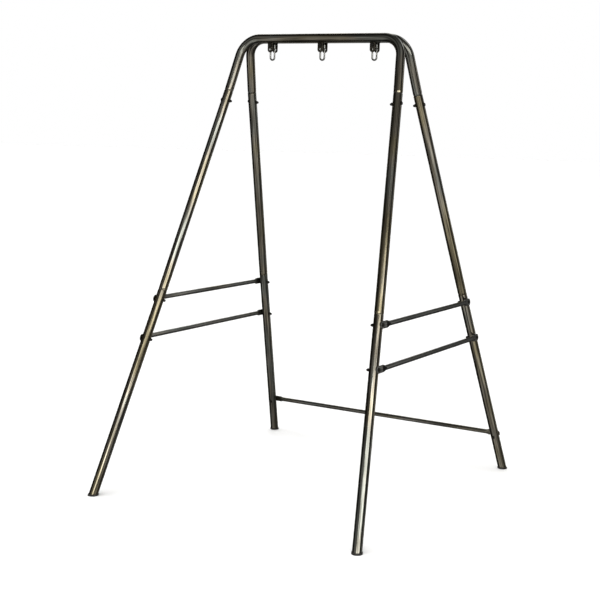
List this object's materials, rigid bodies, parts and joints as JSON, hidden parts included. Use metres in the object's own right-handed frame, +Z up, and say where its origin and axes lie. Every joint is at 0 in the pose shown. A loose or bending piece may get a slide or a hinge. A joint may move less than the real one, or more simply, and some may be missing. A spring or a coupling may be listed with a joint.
{
  "type": "swing stand",
  "caption": "Free-standing A-frame swing stand: twin bent top tubes on splayed socketed legs, bolted flat-ended crossbars, and snap hooks that swing under the top.",
  "frame": {"origin": "on the floor, at the middle of the rectangle of the feet", "axes": "+X along the top tubes towards the right-hand legs, -Y towards the front, +Z up"},
  "size_m": [1.2174, 1.4054, 1.83],
  "materials": {
    "bronze_tube": "antique bronze coating, brushed along the tube and rubbed through to pale gold in streaks",
    "bronze_bar": "the same antique bronze coating, darker and greyer",
    "dark_fastener": "near-black coated bolts and cap nuts",
    "zinc_hook": "bright zinc plating",
    "foot_plastic": "moulded black plastic"
  },
  "bodies": {
    "root": {"front_top_tube": "bronze_tube", "rear_top_tube": "bronze_tube", "front_left_upper_leg": "bronze_tube", "front_left_lower_leg": "bronze_tube", "front_left_foot_cap": "foot_plastic", "front_left_leg_joint_bolt": "dark_fastener", "front_left_upper_bar_bolt": "dark_fastener", "front_left_lower_bar_bolt": "dark_fastener", "rear_left_upper_leg": "bronze_tube", "rear_left_lower_leg": "bronze_tube", "rear_left_foot_cap": "foot_plastic", "rear_left_leg_joint_bolt": "dark_fastener", "rear_left_upper_bar_bolt": "dark_fastener", "rear_left_lower_bar_bolt": "dark_fastener", "left_upper_side_bar": "bronze_bar", "left_lower_side_bar": "bronze_bar", "front_right_upper_leg": "bronze_tube", "front_right_lower_leg": "bronze_tube", "front_right_foot_cap": "foot_plastic", "front_right_leg_joint_bolt": "dark_fastener", "front_right_upper_bar_bolt": "dark_fastener", "front_right_lower_bar_bolt": "dark_fastener", "rear_right_upper_leg": "bronze_tube", "rear_right_lower_leg": "bronze_tube", "rear_right_foot_cap": "foot_plastic", "rear_right_leg_joint_bolt": "dark_fastener", "rear_right_upper_bar_bolt": "dark_fastener", "rear_right_lower_bar_bolt": "dark_fastener", "right_upper_side_bar": "bronze_bar", "right_lower_side_bar": "bronze_bar", "rear_low_bar": "bronze_bar", "rear_left_low_bar_bolt": "dark_fastener", "rear_right_low_bar_bolt": "dark_fastener", "left_front_ear": "bronze_bar", "left_rear_ear": "bronze_bar", "middle_front_ear": "bronze_bar", "middle_rear_ear": "bronze_bar", "right_front_ear": "bronze_bar", "right_rear_ear": "bronze_bar"},
    "left_pin": {"left_hanger_bolt": "dark_fastener", "left_hanger_nut": "dark_fastener"},
    "left_hook": {"left_snap_hook": "zinc_hook", "left_gate_pin": "zinc_hook"},
    "left_gate": {"left_hook_gate": "zinc_hook"},
    "middle_pin": {"middle_hanger_bolt": "dark_fastener", "middle_hanger_nut": "dark_fastener"},
    "middle_hook": {"middle_snap_hook": "zinc_hook", "middle_gate_pin": "zinc_hook"},
    "middle_gate": {"middle_hook_gate": "zinc_hook"},
    "right_pin": {"right_hanger_bolt": "dark_fastener", "right_hanger_nut": "dark_fastener"},
    "right_hook": {"right_snap_hook": "zinc_hook", "right_gate_pin": "zinc_hook"},
    "right_gate": {"right_hook_gate": "zinc_hook"}
  },
  "joints": [
    {"name": "left_pin_turn", "type": "hinge", "parent": "root", "child": "left_pin", "pos_m": [-0.233, 0, 1.785], "axis": [0, 1, 0], "range_deg": [-60, 60]},
    {"name": "left_hook_rock", "type": "hinge", "parent": "left_pin", "child": "left_hook", "pos_m": [-0.233, 0, 1.7928], "axis": [1, 0, 0], "range_deg": [-17, 17]},
    {"name": "left_gate_open", "type": "hinge", "parent": "left_hook", "child": "left_gate", "pos_m": [-0.2235, 0, 1.745], "axis": [0, -1, 0], "range_deg": [0, 25], "stiffness_Nm_per_rad": 0.02, "springref_deg": -20.05},
    {"name": "middle_pin_turn", "type": "hinge", "parent": "root", "child": "middle_pin", "pos_m": [0, 0, 1.785], "axis": [0, 1, 0], "range_deg": [-60, 60]},
    {"name": "middle_hook_rock", "type": "hinge", "parent": "middle_pin", "child": "middle_hook", "pos_m": [0, 0, 1.7928], "axis": [1, 0, 0], "range_deg": [-17, 17]},
    {"name": "middle_gate_open", "type": "hinge", "parent": "middle_hook", "child": "middle_gate", "pos_m": [0.0095, 0, 1.745], "axis": [0, -1, 0], "range_deg": [0, 25], "stiffness_Nm_per_rad": 0.02, "springref_deg": -20.05},
    {"name": "right_pin_turn", "type": "hinge", "parent": "root", "child": "right_pin", "pos_m": [0.233, 0, 1.785], "axis": [0, 1, 0], "range_deg": [-60, 60]},
    {"name": "right_hook_rock", "type": "hinge", "parent": "right_pin", "child": "right_hook", "pos_m": [0.233, 0, 1.7928], "axis": [1, 0, 0], "range_deg": [-17, 17]},
    {"name": "right_gate_open", "type": "hinge", "parent": "right_hook", "child": "right_gate", "pos_m": [0.2425, 0, 1.745], "axis": [0, -1, 0], "range_deg": [0, 25], "stiffness_Nm_per_rad": 0.02, "springref_deg": -20.05}
  ]
}
